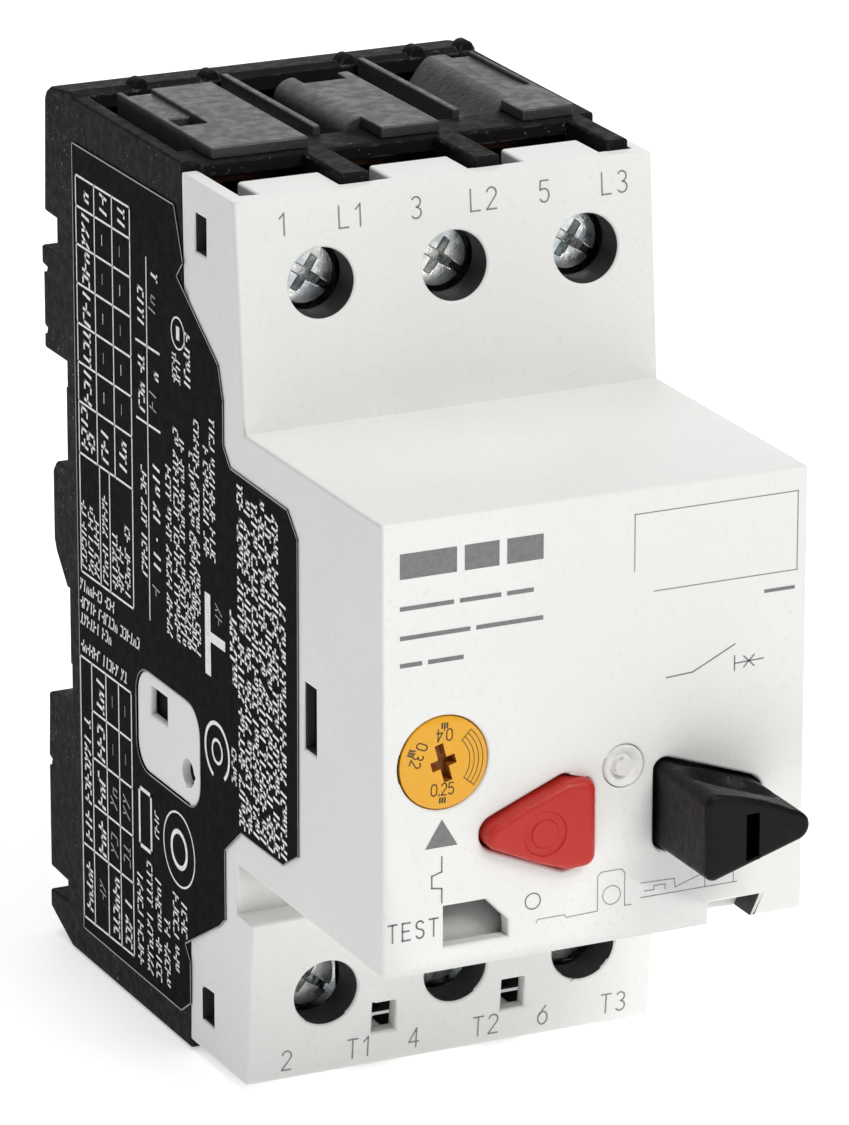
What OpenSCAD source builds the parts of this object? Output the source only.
// Motor protection breaker, three poles, 45 mm wide, for a 35 mm top-hat rail.
// X runs across the rail, Y runs from the front towards the rail, Z is up.
// The origin is the middle of the rail seat on the back of the housing.

/* [Housing] */
// Overall width across the rail
body_w = 45; // [44.6:0.1:45.6]
// Wall thickness of the front cover
cover_wall = 1.8; // [1.6:0.1:2]
// Wall thickness of the rear base
base_wall = 1.6; // [1.4:0.1:1.7]
// Front plane of the raised front box
box_front_y = -76.5; // [-76.9:0.1:-76.1]
// Half height of the raised front box
box_half_h = 22.6; // [22.4:0.1:22.8]
// Plane where the front cover meets the rear base
joint_y = -30.7; // [-30.8:0.1:-30.6]
// Thickness of the printed side label
label_t = 0.15; // [0.1:0.05:0.2]

/* [Terminals] */
// Distance between neighbouring terminal screws
pole_pitch = 14.25; // [14.2:0.05:14.3]
// Sideways place of the middle screw of the upper row
upper_row_x = 0.7; // [0.6:0.1:0.8]
// Sideways place of the middle screw of the lower row
lower_row_x = 0.35; // [0.25:0.05:0.45]
// Height of the upper row of screws above the rail's middle
upper_row_z = 36.4; // [36:0.1:36.8]
// Height of the lower row of screws, below the rail's middle
lower_row_z = -36.65; // [-37:0.05:-36.3]
// Radius of the screwdriver holes in the front cover
access_r = 3.45; // [3.3:0.05:3.5]
// Radius of a terminal screw's head
head_r = 3.1; // [2.9:0.05:3.15]
// Radius of a terminal screw's shank
shank_r = 1.95; // [1.8:0.05:2]

/* [Controls] */
// Place of the on button across the front
on_x = 12; // [11.8:0.1:12.2]
// Place of the off button's stem across the front
off_x = -5.9; // [-6:0.1:-5.8]
// Height of both buttons
button_z = -9.7; // [-9.9:0.1:-9.5]
// How far the on button stands out when the breaker is off
on_proud = 10.5; // [10:0.1:11]
// How far the off button stands out
off_proud = 1.5; // [1.3:0.1:1.7]
// Place of the current dial across the front
dial_x = -15.95; // [-16.1:0.05:-15.8]
// Height of the current dial
dial_z = -1.7; // [-1.8:0.1:-1.6]
// Radius of the current dial
dial_r = 4.6; // [4.4:0.1:4.8]

/* [Rail] */
// Upper end of the rail slot
slot_top_z = 17.7; // [17.7:0.05:17.8]
// Lower end of the rail slot
slot_low_z = -18.8; // [-19:0.1:-18.6]
// Half height of the flat seat
seat_half_h = 15; // [14.5:0.1:15.2]

/* [Hidden] */
$fn = 48;
eps = 0.01;
fit_gap = 0.3;
half_w = body_w / 2 - label_t;
inner_x = 20.9;
side_x = [-1, 1];

// The housing's outline towards the rail and its front plane
base_low_z = -46.5;
base_top_z = 46.2;
cap_top_z = 47.4;
cap_floor_z = 42.3;
cap_front_y = -26.5;
cap_rear_y = -3.6;
cover_low_z = -45.6;
cover_top_z = 45.3;
upper_face_y = [-45.2, -43.1];
lower_face_y = [-46.1, -44.2];
lower_block_z = -27.75;
groove_y = -42.5;
tube_end_y = -40.3;
tube_wall = 1.2;

// The walls between the poles, and the middle of each pole inside the base
partition_t = 1.2;
partition_x = [-6.6, 7.65];
pole_x = [-13.9, 0.5, 14.6];

// The wire pockets at both ends, each with the light lug that narrows it
pocket_x = [[-20.9, -10.1], [-7.1, 4.1], [6.95, 18.6]];
lug_x = [[-19, -10.3], [-5, 3.5], [9.3, 17.7]];
divider_x = [[-10.1, -7.1], [4.1, 6.95], [18.6, 20.9]];
pocket_y = [-41.2, -30];
lug_rear_y = -36.2;
ledge_y = -31.95;

// Where the cover's side tongues lie against the base
tongue_t = 0.9;
tongue_y = [-33.9, -17.75];
tongue_z = [-20.2, -9.2];
tongue_corner = 3;
tongue_gap = 0.15;
tongue_hole_r = 1.5;

// Holes in the cover: the white plug, and the square ones of the lower face
plug_x = 3.1;
plug_z = -5;
square_hole_x = [-8.7, 5.65];
square_hole_w = 2.6;
square_hole_z = [-42.1, -38.75];

// Ears of the base that snap into the cover's side slots
ear_x = [19.8, 20.8];
ear_y = -37;
ear_root_y = -27;
ear_z = [40, -40.4];
ear_half = 2.4;

// Latch slots in the arc cover's caps
slot_y = [-22, -17.5];
tab_rear_y = -7;
tab_drop = 0.5;

// Terminal clamps
head_y = [-39.9, -37.6];
clamp_t = 1.4;
clamp_half = 4.5;
shank_end_y = -27;
bar_y = [-29.9, -28.7];
bar_half_w = 4.6;
strap_half_w = 3;
thread_gap = 0.1;

// Contacts: fixed plates behind, bridges in front of them
fixed_y = [-9, -7.8];
contact_z = [16.5, 7.5];
tip_r = 1.8;
tip_t = 0.8;
bridge_y = [-14.7, -13.7];
crossbar_y = [-27, -20];
crossbar_z = [8.5, 15.5];

// Magnetic trip
magnet_z = -17.5;
coil_r = [2.6, 4.8];
coil_y = [-24.1, -9.9];
plunger_r = 2.3;
striker_r = 1.2;

// Thermal trip
slider_z = [-27.2, -25.2];
slider_y = [-16, -9];
strip_y = [-15, -11];
strip_z = [-42.5, -26];

// Rail clip
clip_stop_z = -34.4;
clip_pocket_top = -21.5;

// Spiral cam of the current dial
cam_range = 170;
cam_low_r = 3;
cam_lift = 1.5;
cam_y = box_front_y + 9;
cam_t = 3;
spindle_r = 2;

// Mechanism behind the front box
frame_y = [-60, -59];
frame_z = [-16.4, 7];
cheek_x = [-11, 2.2, 18];
cheek_t = 1;
pin_r = 1.2;
drive_pivot = [-44, 2];
release_pivot = [-55, -1.5];
stem_r = 1.8;
off_stem_r = 1.5;
arm_z = [-4.6, -2];
arm_half = 1.5;
button_skirt = 2.2;
// Heights where the front cover's raised middle meets its two terminal covers
cover_split_z = [-26.5, 24];

// Terminal i is 1 to 3 in the upper row and 4 to 6 in the lower row
function is_upper(i) = i <= 3;
function screw_x(i) = is_upper(i) ? upper_row_x + (i - 2) * pole_pitch : lower_row_x + (i - 5) * pole_pitch;
function screw_z(i) = is_upper(i) ? upper_row_z : lower_row_z;

// ---------- Shapes that repeat ----------

// A box between two opposite corners
module block(low, high) {
    translate(low) cube(high - low);
}

// A round bar along Y
module rod_y(x, z, from_y, to_y, r) {
    translate([x, from_y, z]) rotate([-90, 0, 0]) cylinder(r = r, h = to_y - from_y);
}

// A round bar along X
module rod_x(y, z, from_x, to_x, r) {
    translate([from_x, y, z]) rotate([0, 90, 0]) cylinder(r = r, h = to_x - from_x);
}

// An outline drawn in Y and Z, run across from one X to another
module across(from_x, to_x) {
    translate([from_x, 0, 0]) rotate([90, 0, 90]) linear_extrude(to_x - from_x) children();
}

// An outline drawn in X and Z as seen from the front, run from one Y back to another
module from_front(from_y, to_y) {
    translate([0, to_y, 0]) rotate([90, 0, 0]) linear_extrude(to_y - from_y) children();
}

// A coil spring of round wire along Z, standing on z = 0
module coil_spring(r, wire_r, length, turns) {
    sides = 6;
    steps = 14;
    count = turns * steps;
    rise = (length - 2 * wire_r) / count;
    points = [for (i = [0:count], k = [0:sides - 1])
        let (turn = 360 * i / steps, around = 360 * k / sides, reach = r + wire_r * cos(around))
        [reach * cos(turn), reach * sin(turn), wire_r + rise * i + wire_r * sin(around)]];
    faces = concat(
        [[for (k = [0:sides - 1]) k]],
        [for (i = [0:count - 1], k = [0:sides - 1])
            let (a = i * sides + k, b = i * sides + (k + 1) % sides)
            [a, a + sides, b + sides, b]],
        [[for (k = [sides - 1:-1:0]) count * sides + k]]);
    polyhedron(points = points, faces = faces, convexity = 10);
}

// ---------- Housing ----------

// The base's outline seen from the side
module base_outline() {
    polygon([
        [joint_y, base_low_z], [0.7, base_low_z], [6.5, -44], [6.5, -42],
        [1.8, -41.9], [1.8, -39.6], [6.3, -39.4], [6.3, -28.1], [5.5, -27.9],
        [5.5, -27.3], [6.3, -27.1], [6, -21], [6, -19.9], [-0.3, slot_low_z],
        [-0.3, -seat_half_h], [0, -seat_half_h], [0, seat_half_h], [-0.3, seat_half_h],
        [-0.3, slot_top_z], [5.5, slot_top_z], [5.5, 19.2], [4.7, 19.4],
        [4.7, 19.9], [5.5, 20.1], [5.5, 25.8], [4.5, 26], [4.5, 26.4],
        [5.9, 26.6], [5.9, 28.6], [1.8, 28.7], [1.8, 32.3], [5, 32.4],
        [4.5, 44.4], [4, 45.2], [2.9, 45.9], [-2.3, 46.6], [-3.4, base_top_z], [joint_y, base_top_z],
    ]);
}

// One pole's space inside the base
module chamber_outline() {
    polygon([
        [joint_y - 1, base_low_z + base_wall], [-3.5, base_low_z + base_wall], [-3.5, -20.4],
        [-2, -20.4], [-2, 19.5], [0.2, 19.5], [0.2, base_top_z - base_wall],
        [joint_y - 1, base_top_z - base_wall],
    ]);
}

// The side bump that fills the rail's hat
module rail_bump() {
    polygon([[-1, -6.8], [0.6, -6.8], [3.4, -3.6], [3.9, -2.4], [3.9, 5], [2.9, 6.2], [-1, 6.2]]);
}

module chambers() {
    edges = [-inner_x, partition_x[0], partition_x[1], inner_x];
    for (i = [0:2]) {
        low = edges[i] + (i == 0 ? 0 : partition_t / 2);
        high = edges[i + 1] - (i == 2 ? 0 : partition_t / 2);
        across(low, high) chamber_outline();
    }
}

// The outline of the cover's side tongues
module tongue_outline(grow) {
    inset = tongue_corner - grow;
    translate([tongue_y[0] + inset, tongue_z[0] + inset])
        offset(r = tongue_corner)
            square([tongue_y[1] - tongue_y[0] - 2 * inset, tongue_z[1] - tongue_z[0] - 2 * inset]);
}

// The forward fingers between the wire pockets at one end
module pocket_dividers(end) {
    top = end > 0 ? base_top_z : -base_low_z;
    for (x = divider_x) {
        low = [x[0] + eps, pocket_y[0], 41.3];
        high = [x[1] - eps, joint_y + eps, top];
        if (end > 0) block(low, high);
        else mirror([0, 0, 1]) block(low, [high[0], high[1], cover_low_z * -1]);
    }
}

// The thin walls that part the terminals of neighbouring poles
module terminal_walls(row) {
    z = row > 0 ? [27, 41.4] : [-41.4, -29.7];
    for (x = partition_x)
        block([x - partition_t / 2, -40.8, z[0]], [x + partition_t / 2, joint_y + eps, z[1]]);
}

// The ears that snap into the cover's side slots, and their roots on the base's side walls
module snap_ears() {
    for (side = side_x, z = ear_z) {
        x = side > 0 ? ear_x : [-ear_x[1], -ear_x[0]];
        root_x = side > 0 ? [ear_x[0], inner_x + eps] : [-inner_x - eps, -ear_x[0]];
        block([x[0], ear_y, z - ear_half], [x[1], joint_y + eps, z + ear_half]);
        block([root_x[0], joint_y, z - ear_half], [root_x[1], ear_root_y, z + ear_half]);
    }
}

module rear_base() color("#1c1c1d") {
    difference() {
        union() {
            across(-half_w, half_w) base_outline();
            for (side = side_x)
                across(side > 0 ? 20 : -half_w, side > 0 ? half_w : -20) rail_bump();
            pocket_dividers(1);
            pocket_dividers(-1);
            terminal_walls(1);
            terminal_walls(-1);
            block([-15, 1.3, 15.8], [15, 3.4, slot_top_z + eps]);
            // ledge behind the upper wire pockets, and small feet along the rear top edge
            block([-inner_x, ledge_y, cap_floor_z + 2.3], [inner_x, joint_y + eps, base_top_z]);
            for (x = [-15, -7.2, 8, 15.8, 21.4])
                rod_y(x, base_top_z + 0.2, -3.4, -1.4, 0.9);
        }
        difference() {
            chambers();
            for (side = side_x)
                across(side > 0 ? 20.1 : -inner_x - 1, side > 0 ? inner_x + 1 : -20.1) tongue_outline(1);
        }
        // room for the cover's tongues
        for (side = side_x) {
            floor_x = half_w - tongue_t - 0.05;
            across(side > 0 ? floor_x : -half_w - 1, side > 0 ? half_w + 1 : -floor_x)
                tongue_outline(tongue_gap);
        }
        // lower wire pockets, cut a little into the base's bottom edge
        for (x = pocket_x)
            block([x[0], joint_y - 1, base_low_z - 1], [x[1], pocket_y[1], -40]);
        // windows for the contact carrier and the thermal slider
        for (x = partition_x) {
            block([x - 2, joint_y - 1, 6], [x + 2, -11, 18]);
            block([x - 2, -17, slider_z[0] - 0.6], [x + 2, -8, slider_z[1] + 0.6]);
            block([x - 2, joint_y - 1, -21], [x + 2, -27.5, -12]);
        }
        // opening that the arc cover closes
        block([-inner_x, cap_front_y, cap_floor_z], [inner_x, cap_rear_y, base_top_z + 1]);
        // guide and spring pocket for the rail clip
        block([-11.9, -1.5, base_low_z - 1], [11.9, 7, slot_low_z + 1]);
        block([-12.9, 0.2, base_low_z - 1], [12.9, 2.6, slot_low_z - 2.5]);
    }
    snap_ears();
    // stop under the clip's spring
    block([-2.4, -1.6, clip_stop_z - 1.6], [2.4, 1.2, clip_stop_z]);
}

// Left half of a cap's section: its side rises to the flat top in a bow
function bow(low, high, steps = 8) =
    [for (k = [0:steps]) let (t = k / steps, lift = t * t * (3 - 2 * t))
        [low[0] + (high[0] - low[0]) * t, low[1] + (high[1] - low[1]) * lift]];

// The cap of the right-hand pole, with a channel along its left side
module ramp_section() {
    z = cap_floor_z;
    polygon(concat(
        [[14.4, z + 0.5], [10.3, z + 0.5], [10.3, z + 2.3], [10.9, z + 2.2]],
        bow([11.6, z + 1.8], [15.2, cap_top_z]),
        [[15.2, z + 0.5]]));
}

// Black moulding that closes the arc chambers, with a raised cap over each pole
module arc_cover() color("#202021") difference() {
    union() {
        block([-inner_x + 0.1, cap_front_y + 0.1, cap_floor_z],
            [inner_x - 0.1, cap_rear_y - 0.1, cap_floor_z + 1.2]);
        // left cap
        block([-19.4, cap_front_y + 0.1, cap_floor_z + 1], [-9, -7.5, cap_top_z]);
        block([-19.4, -31.1, base_top_z], [-9, cap_front_y + 0.2, cap_top_z]);
        // middle cap, rounded along its left side
        block([-3.2, cap_front_y + 0.1, cap_floor_z + 1], [5.2, -9.5, cap_top_z - 2]);
        block([-1.2, cap_front_y + 0.1, cap_floor_z + 1], [5.2, -9.5, cap_top_z]);
        rod_y(-1.2, cap_top_z - 2, cap_front_y + 0.1, -9.5, 2);
        block([-1.2, -31.1, base_top_z], [5.2, cap_front_y + 0.2, cap_top_z]);
        // right cap
        from_front(cap_front_y + 0.1, -7.5) ramp_section();
        block([15.2 - eps, cap_front_y + 0.1, cap_floor_z + 1], [19.9, -7.5, cap_top_z]);
        block([14.2, -31.1, base_top_z], [19.9, cap_front_y + 0.2, cap_top_z]);
        for (x = [-6, 9.2])
            block([x - 0.4, cap_front_y + 0.1, cap_floor_z + 1],
                [x + 0.4, cap_rear_y - 0.1, cap_top_z - 0.4]);
    }
    // latch slots with their sunken tabs
    for (x = [[-18.8, -15.7], [17, 19.6]]) {
        block([x[0], slot_y[0], cap_floor_z + 1.5], [x[1], slot_y[1], cap_top_z + 1]);
        block([x[0], slot_y[1] - 0.5, cap_top_z - tab_drop], [x[1], tab_rear_y, cap_top_z + 1]);
    }
    block([-0.8, -12, cap_floor_z + 1.5], [3.9, -9, cap_top_z + 1]);
}

// The cover's outline seen from the side
module cover_outline() {
    polygon([
        [joint_y, cover_low_z], [lower_face_y[1], cover_low_z], [lower_face_y[0], lower_block_z],
        [groove_y, lower_block_z], [groove_y, -box_half_h], [box_front_y, -box_half_h],
        [box_front_y, box_half_h], [upper_face_y[0], box_half_h], [upper_face_y[1], cover_top_z],
        [joint_y, cover_top_z],
    ]);
}

// The space inside the cover
module cover_hollow() {
    w = cover_wall;
    polygon([
        [joint_y + 1, cover_low_z + w], [lower_face_y[1] + w, cover_low_z + w],
        [lower_face_y[0] + w, lower_block_z - w], [groove_y + w, lower_block_z - w],
        [groove_y + w, -box_half_h + w], [box_front_y + w, -box_half_h + w],
        [box_front_y + w, box_half_h - w], [upper_face_y[0] + w, box_half_h - w],
        [upper_face_y[1] + w, cover_top_z - w], [joint_y + 1, cover_top_z - w],
    ]);
}

// Outline of the on button: a flat left side and a rounded tip to the right
module on_outline(grow = 0) {
    hull() {
        for (z = [-3.3, 3.7])
            translate([on_x - 4.5, button_z + z]) circle(r = 0.9 + grow, $fn = 32);
        translate([on_x + 4.2, button_z]) circle(r = 1.5 + grow, $fn = 32);
    }
}

// Outline of the off button: the same idea pointing left, with bowed sides
module off_outline(grow = 0) {
    hull() {
        for (z = [-2.8, 2.9])
            translate([-1.6, button_z + z]) circle(r = 1.2 + grow, $fn = 32);
        for (z = [-3.3, 3.4])
            translate([-3.2, button_z + z]) circle(r = 1.2 + grow, $fn = 32);
        translate([-10.4, button_z + 0.1]) circle(r = 1.5 + grow, $fn = 32);
    }
}

// Outline of the test window: one corner cut off
module test_outline() {
    polygon([[-15.9, -20.35], [-9.1, -20.35], [-9.1, -18.65], [-11.4, -16.2], [-15.9, -16.2]]);
}

module cover_pockets(end) {
    edge_z = end > 0
        ? [cover_top_z - cover_wall - eps, cover_top_z + 1]
        : [cover_low_z - 1, cover_low_z + cover_wall + eps];
    for (i = [0:2]) {
        x = pocket_x[i];
        block([x[0], lug_rear_y, edge_z[0]], [x[1], joint_y + 1, edge_z[1]]);
        block([x[0], pocket_y[0], edge_z[0]], [lug_x[i][0], joint_y + 1, edge_z[1]]);
        block([lug_x[i][1], pocket_y[0], edge_z[0]], [x[1], joint_y + 1, edge_z[1]]);
    }
    for (x = divider_x)
        block([x[0] - eps, pocket_y[0] - 0.1, edge_z[0]], [x[1] + eps, joint_y + 1, edge_z[1]]);
}

module cover_moulding() difference() {
    union() {
        difference() {
            across(-half_w, half_w) cover_outline();
            across(-inner_x, inner_x) cover_hollow();
        }
        for (i = [1:6])
            rod_y(screw_x(i), screw_z(i), is_upper(i) ? -43.4 : -44.4, tube_end_y, access_r + tube_wall);
        // posts that the mechanism stands on
        for (x = [-8.8, 16], z = [5, -14.8])
            rod_y(x, z, box_front_y + 1, frame_y[0], 1.5);
        // tongues that snap over the base
        for (side = side_x)
            across(side > 0 ? half_w - tongue_t : -half_w, side > 0 ? half_w : -half_w + tongue_t)
                tongue_outline(0);
        // guide collar behind the dial, and the stop of the test slide's spring
        rod_y(dial_x, dial_z, box_front_y + 1, box_front_y + 7, dial_r + 1.3);
        block([-2.5, -53.5, -21.5], [-1.3, -50.5, -17.4]);
    }
    for (i = [1:6])
        rod_y(screw_x(i), screw_z(i), -50, tube_end_y + 1, access_r);
    from_front(box_front_y - 1, box_front_y + 5) on_outline(fit_gap);
    from_front(box_front_y - 1, box_front_y + 5) off_outline(fit_gap);
    from_front(box_front_y - 1, box_front_y + 5) test_outline();
    rod_y(dial_x, dial_z, box_front_y - 1, box_front_y + 3, dial_r + 0.1);
    rod_y(dial_x, dial_z, box_front_y + 2, box_front_y + 8, spindle_r + 0.05);
    rod_y(plug_x, plug_z, box_front_y - 1, box_front_y + 1, 2.2);
    rod_y(plug_x, plug_z, box_front_y, box_front_y + 4, 1.05);
    // notch in the front's lower edge
    from_front(box_front_y - 1, box_front_y + 3.5)
        polygon([[12.4, -24], [12.4, -20.5], [17.9, -20.5], [17, -22.4], [17, -24]]);
    // through holes in the lower face
    for (x = square_hole_x)
        block([x, -50, square_hole_z[0]], [x + square_hole_w, -41.5, square_hole_z[1]]);
    // snap slots in both sides, and the window beside the dial
    for (side = side_x) {
        x = side > 0 ? [inner_x - 1, half_w + 1] : [-half_w - 1, -inner_x + 1];
        block([x[0], -36.2, 38.1], [x[1], -33.6, 41.9]);
        block([x[0], -36.3, -42.2], [x[1], -33.6, -38.6]);
        block([x[0], -61.5, -5], [x[1], -58.8, 1.7]);
        block([x[0], -25.3, -13.6], [x[1], -21.2, -10.7]);
    }
    for (side = side_x) {
        x = side > 0 ? [half_w - 1.2, half_w + 1] : [-half_w - 1, -half_w + 1.2];
        rod_x(joint_y + 0.1, -16.9, x[0], x[1], tongue_hole_r);
    }
    cover_pockets(1);
    cover_pockets(-1);
}

// One part of the cover moulding, between two heights
module cover_part(low_z, high_z) color("#e9e8e4") intersection() {
    cover_moulding();
    block([-half_w - 1, box_front_y - 1, low_z], [half_w + 1, -10, high_z]);
}

module front_cover() cover_part(cover_split_z[0], cover_split_z[1]);

module upper_terminal_cover() cover_part(cover_split_z[1], 50);

module lower_terminal_cover() cover_part(-50, cover_split_z[0]);

// The printed label on the left side, with a window over the tongue
module side_label() color("#141415") {
    across(-half_w - label_t, -half_w) difference() {
        polygon([
            [-3, 41.5], [-3, -43.1], [-28.5, -43.1], [-30.9, -41.5],
            [-30.9, -36.95], [-29.65, -35.45],
            [-38.3, -30.55], [-39.8, -29.3], [-39.8, -22], [-43.85, -18.8], [-53.9, -18.7],
            [-57.5, -16.6], [-57.7, 15.7], [-55.4, 18], [-41.9, 18.3], [-40.3, 20.1],
            [-40.3, 24.7], [-39.2, 28], [-29.3, 34.4], [-30.9, 36.1], [-28.8, 41.5],
        ]);
        tongue_outline(0);
    }
}

// White plug with a stud that hides the calibration screw
module seal_plug() color("#eceae6") {
    rod_y(plug_x, plug_z, box_front_y + 0.5, box_front_y + 3, 1);
    difference() {
        rod_y(plug_x, plug_z, box_front_y + 0.05, box_front_y + 0.95, 2.1);
        rod_y(plug_x, plug_z, box_front_y - 1, box_front_y + 0.5, 1.6);
    }
}

// ---------- Controls ----------

module on_button() color("#19191a") {
    tip_y = box_front_y - on_proud;
    difference() {
        from_front(tip_y, box_front_y + button_skirt) on_outline();
        // indicator slot in the front face
        block([on_x - 1.2, tip_y - 1, button_z - 2.6], [on_x + 0.2, tip_y + 0.5, button_z + 2.1]);
    }
    from_front(box_front_y + button_skirt - eps, box_front_y + 3.5) on_outline(1);
    rod_y(on_x, button_z, box_front_y + 3.4, -53, stem_r);
    rod_y(on_x, button_z, -53.5, drive_pivot[0] - 2, 0.9);
}

module on_spring() color("#b9bbbd")
    translate([on_x, frame_y[0] - eps, button_z]) rotate([90, 0, 0])
        coil_spring(2.6, 0.35, frame_y[0] - box_front_y - 3.5 - 0.02, 7);

module off_button() color("#c42026") {
    from_front(box_front_y - off_proud, box_front_y + button_skirt) off_outline();
    from_front(box_front_y + button_skirt - eps, box_front_y + 3.2) off_outline(0.8);
    rod_y(off_x, button_z, box_front_y + 3.1, -61, off_stem_r);
    rod_y(off_x, button_z, -61.5, release_pivot[0] - 2.4, 0.8);
}

module off_spring() color("#b9bbbd")
    translate([off_x, frame_y[0] - eps, button_z]) rotate([90, 0, 0])
        coil_spring(2.2, 0.3, frame_y[0] - box_front_y - 3.2 - 0.02, 7);

module adjust_dial() color("#e9a21b") difference() {
    union() {
        rod_y(dial_x, dial_z, box_front_y + 0.05, box_front_y + 2.9, dial_r);
        rod_y(dial_x, dial_z, box_front_y + 2, box_front_y + 14.5, spindle_r);
    }
    for (turn = [20, 110])
        translate([dial_x, box_front_y, dial_z]) rotate([0, turn, 0])
            block([-1.9, -1, -0.5], [1.9, 1.3, 0.5]);
}

// Spiral cam: its reach grows evenly over the dial's range
module adjust_cam() color("#d8d5cc") difference() {
    translate([dial_x, 0, dial_z]) from_front(cam_y, cam_y + cam_t)
        polygon(concat(
            [for (turn = [0:10:cam_range])
                (cam_low_r + cam_lift * turn / cam_range) * [cos(turn), -sin(turn)]],
            [for (turn = [180:10:350]) cam_low_r * [cos(turn), -sin(turn)]]));
    rod_y(dial_x, dial_z, box_front_y, box_front_y + 20, spindle_r + eps);
}

module adjust_slide() color("#d8d5cc") {
    y = [cam_y + 0.2, cam_y + cam_t - 0.2];
    block([dial_x + cam_low_r + 0.15, y[0], dial_z - 1.5], [0.5, y[1], dial_z + 1.5]);
    block([-2, y[0], dial_z + 1.4], [0.5, y[1], dial_z + 6]);
}

// Grey finger behind the test window, and its arm back to the thermal slider
module test_slide() color("#b8b7b2") {
    across(-14.8, -9.6) polygon([[-71.5, -20.7], [-69, -20.7], [-69, -16.9], [-70.2, -16.9]]);
    block([-12.6, -69.2, -20.4], [-10.6, -36, -17.6]);
    block([-12.6, -38.2, slider_z[0]], [-10.6, -36, -17.5]);
    block([-12.6, -38.2, slider_z[0]], [-10.6, slider_y[0] - eps, slider_z[1]]);
}

module test_spring() color("#b9bbbd")
    translate([-10.59, -52, -19]) rotate([0, 90, 0]) coil_spring(1.1, 0.2, 8, 6);

module thermal_slider() color("#8a5a33") difference() {
    block([-19.4, slider_y[0], slider_z[0]], [18.4, slider_y[1], slider_z[1]]);
    for (x = pole_x)
        block([x - 2.9, strip_y[0] - 0.3, slider_z[0] - 1], [x + 0.6, strip_y[1] + 0.3, slider_z[1] + 1]);
}

// ---------- Mechanism ----------

module mechanism_frame() color("#a9adb0") difference() {
    union() {
        block([cheek_x[0], frame_y[0], frame_z[0]], [cheek_x[2] + cheek_t, frame_y[1], frame_z[1]]);
        for (x = cheek_x)
            block([x, frame_y[1] - eps, -5], [x + cheek_t, -40, frame_z[1]]);
    }
    rod_y(on_x, button_z, -62, -57, stem_r + 0.1);
    rod_y(off_x, button_z, -62, -57, off_stem_r + 0.1);
    rod_x(drive_pivot[0], drive_pivot[1], 0, 20, pin_r);
    rod_x(release_pivot[0], release_pivot[1], -12, 5, pin_r);
}

module drive_pin() color("#c9ccce")
    rod_x(drive_pivot[0], drive_pivot[1], cheek_x[1], cheek_x[2] + cheek_t, pin_r);

module release_pin() color("#c9ccce")
    rod_x(release_pivot[0], release_pivot[1], cheek_x[0], cheek_x[1] + cheek_t, pin_r);

// Halves the on button's stroke on its way to the contact carrier
module drive_lever() color("#a9adb0")
    translate([0, drive_pivot[0], drive_pivot[1]]) difference() {
        union() {
            block([on_x - 1.2, -1.2, -13.3], [on_x + 1.2, 1.2, 0]);
            block([on_x - 1.2, -1.2, -7.2], [on_x + 1.2, 1.5, 0]);
            rod_x(0, 0, on_x - 2.2, on_x + 2.2, 3.3);
        }
        rod_x(0, 0, 0, 30, pin_r + 0.05);
    }

module release_lever() color("#a9adb0")
    translate([0, release_pivot[0], release_pivot[1]]) difference() {
        union() {
            block([off_x - 1, -1.9, -10], [off_x + 1, 0, 0]);
            block([off_x - 1, 0, -1.2], [off_x + 1, 7, 1.2]);
            rod_x(0, 0, off_x - 2, off_x + 2, 2.4);
        }
        rod_x(0, 0, -20, 10, pin_r + 0.05);
    }

// ---------- Contacts ----------

module contact_carrier() color("#5b2f1c") difference() {
    union() {
        block([-19.2, crossbar_y[0], crossbar_z[0]], [19.2, crossbar_y[1], crossbar_z[1]]);
        for (x = pole_x)
            block([x - 3.9, crossbar_y[1] - eps, 9.6], [x + 3.9, bridge_y[1] + 1, 14.4]);
        // arm that the drive lever pushes
        block([on_x - arm_half, drive_pivot[0] + 1.8, arm_z[0]], [on_x + arm_half, -27, arm_z[1]]);
        block([on_x - arm_half, -30, arm_z[0]], [on_x + arm_half, crossbar_y[0] + eps, crossbar_z[1]]);
    }
    for (x = pole_x)
        block([x - 2.6, crossbar_y[1], 9], [x + 2.6, bridge_y[1], 15]);
}

module bridge_contact(i) color("#b0653a") {
    x = pole_x[i - 1];
    block([x - 2.5, bridge_y[0], 5.4], [x + 2.5, bridge_y[1], 18.6]);
    for (z = contact_z)
        rod_y(x, z, bridge_y[1] - eps, bridge_y[1] + tip_t, tip_r);
}

module contact_springs() color("#b9bbbd")
    for (x = pole_x)
        translate([x, bridge_y[0] - 0.01, 12]) rotate([90, 0, 0]) coil_spring(1.6, 0.25, 5.25, 4);

// Clamp plate, strap and fixed contact of one upper terminal, in one bent bar
module line_terminal(i) color("#b8743f") difference() {
    x = pole_x[i - 1];
    sx = screw_x(i);
    union() {
        block([sx - bar_half_w, bar_y[0], 31.5], [sx + bar_half_w, bar_y[1], 41.2]);
        block([x - strap_half_w, bar_y[0], 24.8], [x + strap_half_w, bar_y[1], 32]);
        block([x - strap_half_w, bar_y[0], 24.8], [x + strap_half_w, fixed_y[1], 26]);
        block([x - strap_half_w, fixed_y[0], 14.6], [x + strap_half_w, fixed_y[1], 26]);
        rod_y(x, contact_z[0], fixed_y[0] - tip_t, fixed_y[0] + eps, tip_r);
    }
    rod_y(sx, screw_z(i), -31, -28, shank_r + thread_gap);
}

// The lower fixed contacts, down to the magnet coils
module load_contacts() color("#b8743f")
    for (x = pole_x) {
        block([x - strap_half_w, fixed_y[0], -10.8], [x + strap_half_w, fixed_y[1], 9.4]);
        rod_y(x, contact_z[1], fixed_y[0] - tip_t, fixed_y[0] + eps, tip_r);
    }

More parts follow.
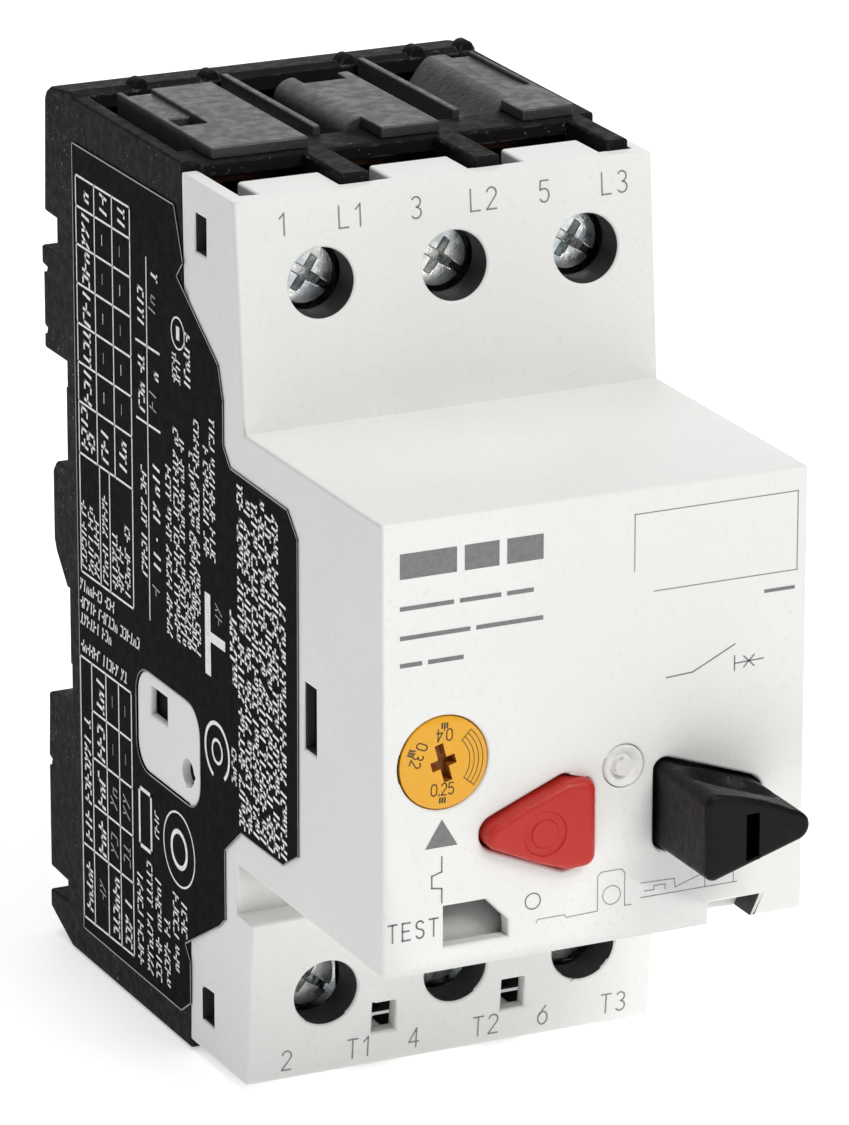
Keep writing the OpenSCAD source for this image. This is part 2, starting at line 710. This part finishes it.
// The lower terminal bars, with straps back to the heaters
module load_terminals() color("#b8743f")
    for (i = [4:6]) {
        x = pole_x[i - 4];
        sx = screw_x(i);
        difference() {
            union() {
                block([sx - bar_half_w, bar_y[0], -41.4], [sx + bar_half_w, bar_y[1], -31.7]);
                block([x - strap_half_w, bar_y[0], -44.3], [x + strap_half_w, bar_y[1], -41]);
                block([x - strap_half_w, bar_y[0], -44.3], [x + strap_half_w, -17, -43.1]);
            }
            rod_y(sx, screw_z(i), -31, -28, shank_r + thread_gap);
        }
    }

// A stack of splitter plates, each with a mouth towards the contacts
module arc_stack(x, low_z, count) {
    pitch = 2;
    for (i = [0:count - 1])
        translate([0, 0, low_z + i * pitch]) difference() {
            block([x - 4.8, -21.5, 0], [x + 4.8, -10.6, 0.8]);
            block([x - 1.2, -22, -1], [x + 1.2, -16, 2]);
        }
}

module arc_plates_upper() color("#8f9396")
    for (x = pole_x) arc_stack(x, 28, 7);

module arc_plates_lower() color("#8f9396")
    for (x = pole_x) arc_stack(x, -7.4, 5);

// ---------- Magnetic trip ----------

// Winding of round wire on a thin bobbin
module magnet_coil(i) color("#a65a2a")
    translate([pole_x[i - 1], coil_y[0], magnet_z]) rotate([-90, 0, 0]) rotate_extrude() {
        turns = 8;
        width = coil_y[1] - coil_y[0];
        wire_r = width / turns / 2;
        translate([coil_r[0], 0]) square([0.8, width]);
        translate([coil_r[0] + 0.4, 0]) square([coil_r[1] - coil_r[0] - 0.4 - wire_r, width]);
        for (k = [0:turns - 1])
            translate([coil_r[1] - wire_r, wire_r * (2 * k + 1)]) circle(r = wire_r, $fn = 24);
    }

module magnet_yoke(i) color("#6d7175") {
    x = pole_x[i - 1];
    difference() {
        union() {
            block([x - 4.6, coil_y[0] - 1.3, -24.2], [x + 4.6, coil_y[0] - 0.1, magnet_z + 4.8]);
            block([x - 4.6, coil_y[1] + 0.1, -24.2], [x + 4.6, coil_y[1] + 1.3, magnet_z + 4.8]);
            block([x - 4.6, coil_y[0] - 1.3, -24.2], [x + 4.6, coil_y[1] + 1.3, -23.1]);
            rod_y(x, magnet_z, coil_y[0] - 0.2, -18, 2.5);
        }
        rod_y(x, magnet_z, -30, -17, striker_r + 0.2);
    }
}

module plunger(i) color("#9b9fa2") {
    x = pole_x[i - 1];
    rod_y(x, magnet_z, -15.8, coil_y[1] - 0.2, plunger_r);
    rod_y(x, magnet_z, -26.6, -15.7, striker_r);
}

// Bar across the poles that any striker can tip
module striker_bar() color("#4a4c4e") {
    block([-18.5, -30.2, -20], [18.5, -28.75, -15]);
    rod_x(-29.5, -13.6, -18.5, 18.5, 0.8);
    block([-18.5, -30.2, -15.2], [18.5, -28.9, -13.6]);
}

// ---------- Thermal trip ----------

module bimetal_strips() color("#b9a27a")
    for (x = pole_x) {
        block([x - 0.4, strip_y[0], strip_z[0] - eps], [x + 0.4, strip_y[1], strip_z[1]]);
        block([x - 1.5, strip_y[0] - 1, -44.8], [x + 1.5, strip_y[1] + 1, strip_z[0]]);
    }

module heater_coils() color("#c8c9c6")
    for (x = pole_x, k = [0:6])
        translate([x, (strip_y[0] + strip_y[1]) / 2, -41 + 1.6 * k])
            rotate_extrude() translate([3.3, 0]) circle(r = 0.5, $fn = 20);

// ---------- Rail clip ----------

module din_clip() color("#232324") difference() {
    union() {
        block([-11.7, -0.6, -45.8], [11.7, 4.6, slot_low_z - 0.3]);
        block([-12.7, 0.4, -45.8], [12.7, 2.4, -25]);
        // jaw behind the rail's lower flange
        across(-9, 9) polygon([[1.4, -20], [1.4, -15.9], [2.2, -15.9], [4.6, -18.6], [4.6, -20]]);
    }
    // spring pocket and the screwdriver slot
    block([-2.8, -2, clip_stop_z - 2.1], [2.8, 1.35, clip_pocket_top]);
    block([-3.5, 3, -44], [3.5, 6, -42]);
    for (x = [-8.5, 5.5])
        block([x, 3.4, -40], [x + 3, 6, -24]);
}

module clip_spring() color("#b9bbbd")
    translate([0, -0.2, clip_stop_z + eps])
        coil_spring(1, 0.2, clip_pocket_top - clip_stop_z - 2 * eps, 9);

// ---------- Terminal clamps ----------

module clamp_plate(i) color("#c2c4c4") difference() {
    x = screw_x(i);
    z = screw_z(i);
    block([x - clamp_half, head_y[1], z - 4.4], [x + clamp_half, head_y[1] + clamp_t, z + 4.4]);
    rod_y(x, z, -40, -30, shank_r + thread_gap);
}

// Plated screw with a slot and a cross in its head
module terminal_screw(i) color("#c7c9c8") {
    x = screw_x(i);
    z = screw_z(i);
    difference() {
        union() {
            rod_y(x, z, head_y[0], head_y[1], head_r);
            rod_y(x, z, head_y[1] - eps, shank_end_y, shank_r);
        }
        for (turn = [35, 125])
            translate([x, head_y[0], z]) rotate([0, turn, 0])
                block([-1.9, -1, -0.42], [1.9, 1.5, 0.42]);
        translate([x, head_y[0], z]) rotate([0, 35, 0])
            block([-4, -1, -0.35], [4, 0.7, 0.35]);
    }
}

rear_base();
arc_cover();
front_cover();
upper_terminal_cover();
lower_terminal_cover();
side_label();
seal_plug();
on_button();
on_spring();
off_button();
off_spring();
adjust_dial();
adjust_cam();
adjust_slide();
test_slide();
test_spring();
thermal_slider();
mechanism_frame();
drive_lever();
drive_pin();
release_lever();
release_pin();
contact_carrier();
contact_springs();
load_contacts();
load_terminals();
arc_plates_upper();
arc_plates_lower();
striker_bar();
bimetal_strips();
heater_coils();
din_clip();
clip_spring();
for (i = [1:3]) {
    bridge_contact(i);
    line_terminal(i);
    magnet_coil(i);
    magnet_yoke(i);
    plunger(i);
}
for (i = [1:6]) {
    clamp_plate(i);
    terminal_screw(i);
}
